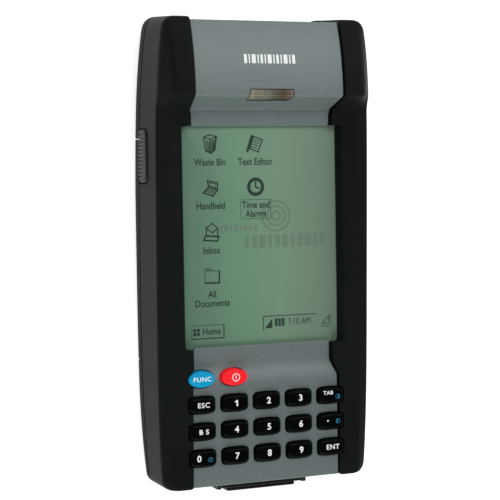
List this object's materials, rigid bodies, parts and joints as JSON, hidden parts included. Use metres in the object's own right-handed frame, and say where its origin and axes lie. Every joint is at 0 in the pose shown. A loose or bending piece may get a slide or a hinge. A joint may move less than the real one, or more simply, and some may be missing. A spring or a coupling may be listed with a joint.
{
  "type": "rugged handheld data terminal",
  "caption": "Rugged pocket data terminal with a touch screen, raised scanner head, numeric keypad, side trigger, stylus and lift-off battery door.",
  "frame": {"origin": "centre of the bounding box on the plane of the back, with the device lying on its back", "axes": "+X to the right of the screen, +Y from the keypad to the scanner head, +Z out of the screen"},
  "size_m": [0.0833, 0.1727, 0.0348],
  "materials": {
    "grey_panel": "satin metallic grey paint on moulded plastic",
    "black_elastomer": "fine matt texture",
    "charcoal_plastic": "spark-eroded moulded texture",
    "dark_grey_plastic": "matt, ribbed",
    "black_plastic": "smooth matt",
    "black_key": "satin",
    "blue_key": "satin",
    "red_key": "satin",
    "screen_face": "anti-glare film over a reflective green-grey panel",
    "smoked_window": "polished",
    "scan_window": "polished, deep red",
    "steel": "plain",
    "circuit_board": "solder mask",
    "silicone": "matt",
    "cell_wrap": "shrink sleeve",
    "white_plastic": "clear-white",
    "gold_contact": "plated"
  },
  "bodies": {
    "case": {"front_housing": "grey_panel", "left_rail": "black_elastomer", "right_rail": "black_elastomer", "rear_housing": "charcoal_plastic", "touch_panel": "screen_face", "lcd_module": "steel", "led_window": "smoked_window", "scan_window": "scan_window", "dock_connector": "black_plastic", "dock_guide_left": "dark_grey_plastic", "dock_guide_right": "dark_grey_plastic", "main_board": "circuit_board", "keypad_mat": "silicone", "keypad_board": "circuit_board", "processor_shield": "steel", "coin_cell": "steel", "engine_bracket": "steel", "scan_engine": "black_plastic", "status_led": "white_plastic", "trigger_switch": "steel", "speaker": "black_plastic", "battery_contacts": "gold_contact", "case_screw_1": "steel", "board_screw_1": "steel", "case_screw_2": "steel", "board_screw_2": "steel", "case_screw_3": "steel", "board_screw_3": "steel", "case_screw_4": "steel", "board_screw_4": "steel"},
    "battery_door": {"battery_door": "charcoal_plastic", "battery_cell_left": "cell_wrap", "battery_cell_right": "cell_wrap"},
    "battery_latch": {"battery_latch": "dark_grey_plastic"},
    "stylus": {"stylus": "black_plastic"},
    "trigger_button": {"trigger_button": "dark_grey_plastic"},
    "key_function": {"key_function": "blue_key"},
    "key_power": {"key_power": "red_key"},
    "key_escape": {"key_escape": "black_key"},
    "key_1": {"key_1": "black_key"},
    "key_2": {"key_2": "black_key"},
    "key_3": {"key_3": "black_key"},
    "key_tab": {"key_tab": "black_key"},
    "key_backspace": {"key_backspace": "black_key"},
    "key_4": {"key_4": "black_key"},
    "key_5": {"key_5": "black_key"},
    "key_6": {"key_6": "black_key"},
    "key_point": {"key_point": "black_key"},
    "key_0": {"key_0": "black_key"},
    "key_7": {"key_7": "black_key"},
    "key_8": {"key_8": "black_key"},
    "key_9": {"key_9": "black_key"},
    "key_enter": {"key_enter": "black_key"}
  },
  "joints": [
    {"name": "battery_door_lift", "type": "slide", "parent": "case", "child": "battery_door", "axis": [0, 0, -1], "range_m": [0, 0.012]},
    {"name": "battery_latch_slide", "type": "slide", "parent": "case", "child": "battery_latch", "axis": [0, -1, 0], "range_m": [0, 0.0025], "stiffness_N_per_m": 200, "springref_m": -0.002},
    {"name": "stylus_draw", "type": "slide", "parent": "case", "child": "stylus", "axis": [0, 1, 0], "range_m": [0, 0.112]},
    {"name": "trigger_press", "type": "slide", "parent": "case", "child": "trigger_button", "axis": [1, 0, 0], "range_m": [0, 0.001], "stiffness_N_per_m": 800, "springref_m": -0.0005},
    {"name": "key_function_press", "type": "slide", "parent": "case", "child": "key_function", "axis": [0, 0, -1], "range_m": [0, 0.0008], "stiffness_N_per_m": 400, "springref_m": -0.0005},
    {"name": "key_power_press", "type": "slide", "parent": "case", "child": "key_power", "axis": [0, 0, -1], "range_m": [0, 0.0008], "stiffness_N_per_m": 400, "springref_m": -0.0005},
    {"name": "key_escape_press", "type": "slide", "parent": "case", "child": "key_escape", "axis": [0, 0, -1], "range_m": [0, 0.0008], "stiffness_N_per_m": 400, "springref_m": -0.0005},
    {"name": "key_1_press", "type": "slide", "parent": "case", "child": "key_1", "axis": [0, 0, -1], "range_m": [0, 0.0008], "stiffness_N_per_m": 400, "springref_m": -0.0005},
    {"name": "key_2_press", "type": "slide", "parent": "case", "child": "key_2", "axis": [0, 0, -1], "range_m": [0, 0.0008], "stiffness_N_per_m": 400, "springref_m": -0.0005},
    {"name": "key_3_press", "type": "slide", "parent": "case", "child": "key_3", "axis": [0, 0, -1], "range_m": [0, 0.0008], "stiffness_N_per_m": 400, "springref_m": -0.0005},
    {"name": "key_tab_press", "type": "slide", "parent": "case", "child": "key_tab", "axis": [0, 0, -1], "range_m": [0, 0.0008], "stiffness_N_per_m": 400, "springref_m": -0.0005},
    {"name": "key_backspace_press", "type": "slide", "parent": "case", "child": "key_backspace", "axis": [0, 0, -1], "range_m": [0, 0.0008], "stiffness_N_per_m": 400, "springref_m": -0.0005},
    {"name": "key_4_press", "type": "slide", "parent": "case", "child": "key_4", "axis": [0, 0, -1], "range_m": [0, 0.0008], "stiffness_N_per_m": 400, "springref_m": -0.0005},
    {"name": "key_5_press", "type": "slide", "parent": "case", "child": "key_5", "axis": [0, 0, -1], "range_m": [0, 0.0008], "stiffness_N_per_m": 400, "springref_m": -0.0005},
    {"name": "key_6_press", "type": "slide", "parent": "case", "child": "key_6", "axis": [0, 0, -1], "range_m": [0, 0.0008], "stiffness_N_per_m": 400, "springref_m": -0.0005},
    {"name": "key_point_press", "type": "slide", "parent": "case", "child": "key_point", "axis": [0, 0, -1], "range_m": [0, 0.0008], "stiffness_N_per_m": 400, "springref_m": -0.0005},
    {"name": "key_0_press", "type": "slide", "parent": "case", "child": "key_0", "axis": [0, 0, -1], "range_m": [0, 0.0008], "stiffness_N_per_m": 400, "springref_m": -0.0005},
    {"name": "key_7_press", "type": "slide", "parent": "case", "child": "key_7", "axis": [0, 0, -1], "range_m": [0, 0.0008], "stiffness_N_per_m": 400, "springref_m": -0.0005},
    {"name": "key_8_press", "type": "slide", "parent": "case", "child": "key_8", "axis": [0, 0, -1], "range_m": [0, 0.0008], "stiffness_N_per_m": 400, "springref_m": -0.0005},
    {"name": "key_9_press", "type": "slide", "parent": "case", "child": "key_9", "axis": [0, 0, -1], "range_m": [0, 0.0008], "stiffness_N_per_m": 400, "springref_m": -0.0005},
    {"name": "key_enter_press", "type": "slide", "parent": "case", "child": "key_enter", "axis": [0, 0, -1], "range_m": [0, 0.0008], "stiffness_N_per_m": 400, "springref_m": -0.0005}
  ]
}
